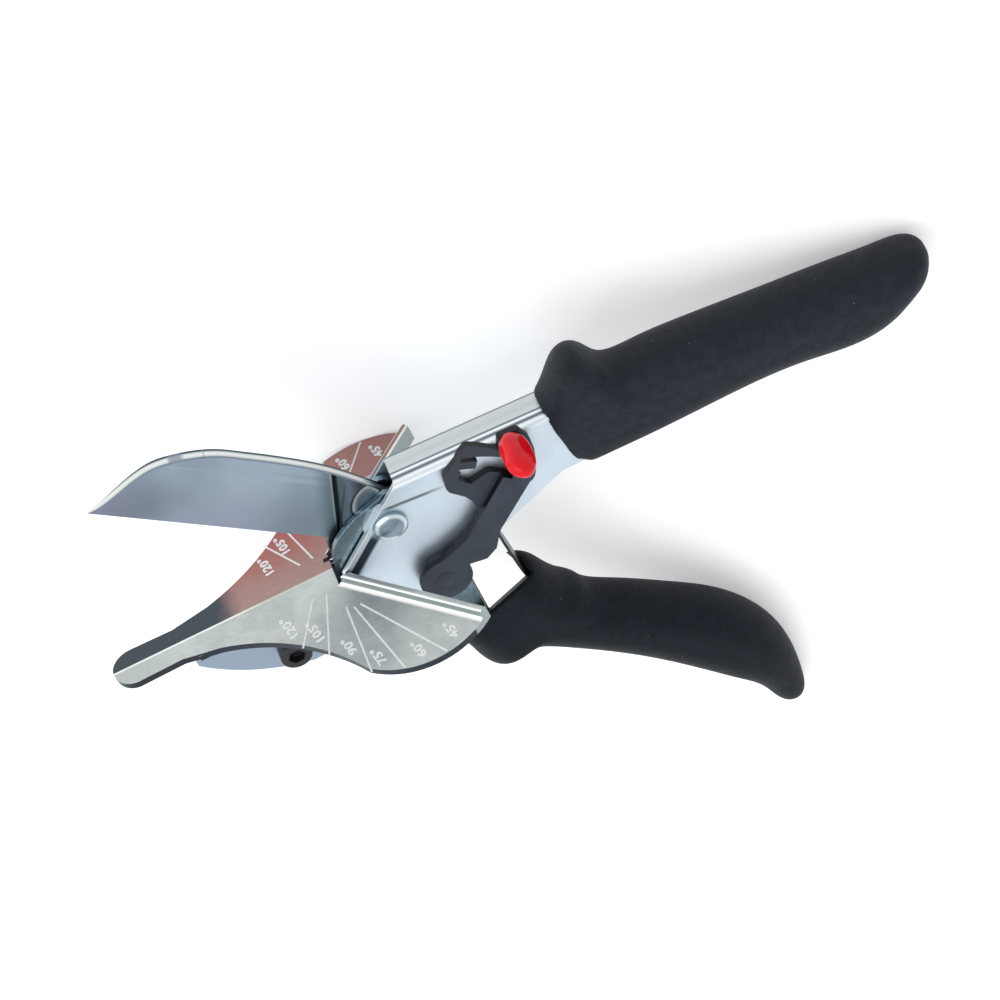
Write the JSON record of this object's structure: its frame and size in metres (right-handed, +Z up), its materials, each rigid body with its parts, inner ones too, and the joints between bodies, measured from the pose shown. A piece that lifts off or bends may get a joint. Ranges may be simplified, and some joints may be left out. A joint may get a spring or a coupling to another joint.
{
  "type": "mitre shears",
  "caption": "Hand shears with an angled table under a ground blade, dipped grips, an opening spring and a thumb lock, lying open on one side.",
  "frame": {"origin": "centre of the lying tool's bounding box, on the surface that it lies on", "axes": "+X from the table's nose towards the upper handle's end, +Y from the angle table towards the blade, +Z up"},
  "size_m": [0.2198, 0.1814, 0.0755],
  "materials": {
    "zinc_plate": "bright zinc plate over pressed steel",
    "cast_zinc": "satin zinc",
    "black_steel": "black oxide",
    "bright_steel": "bright turned steel",
    "blade_steel": "ground and polished",
    "dark_steel": "dark slate phosphate",
    "red_plastic": "glossy",
    "grip_rubber": "matte, finely grained"
  },
  "bodies": {
    "upper": {"upper_lever": "zinc_plate", "upper_grip": "grip_rubber", "angle_table": "cast_zinc", "table_screws": "black_steel", "table_nuts": "zinc_plate", "stop_bush": "zinc_plate", "pivot_pin": "bright_steel", "pivot_washer": "zinc_plate", "pivot_nut": "zinc_plate", "thrust_washers": "zinc_plate", "lock_rivet": "dark_steel", "lock_spacer": "zinc_plate", "guide_stud": "zinc_plate"},
    "lower": {"lower_lever": "zinc_plate", "blade": "blade_steel", "blade_rivets": "bright_steel", "lower_grip": "grip_rubber", "catch_stud": "bright_steel", "opening_spring": "black_steel"},
    "lock": {"lock_bar": "dark_steel", "lock_cap": "red_plastic"}
  },
  "joints": [
    {"name": "blade_hinge", "type": "hinge", "parent": "upper", "child": "lower", "pos_m": [-0.03295, 0.04261, 0.03914], "axis": [0.2186, -0.1461, 0.9648], "range_deg": [0, 43.4], "stiffness_Nm_per_rad": 0.5, "springref_deg": -22.92},
    {"name": "lock_hinge", "type": "hinge", "parent": "upper", "child": "lock", "pos_m": [-0.02643, 0.01879, 0.04167], "axis": [0.2186, -0.1461, 0.9648], "range_deg": [-11.5, 0]}
  ]
}
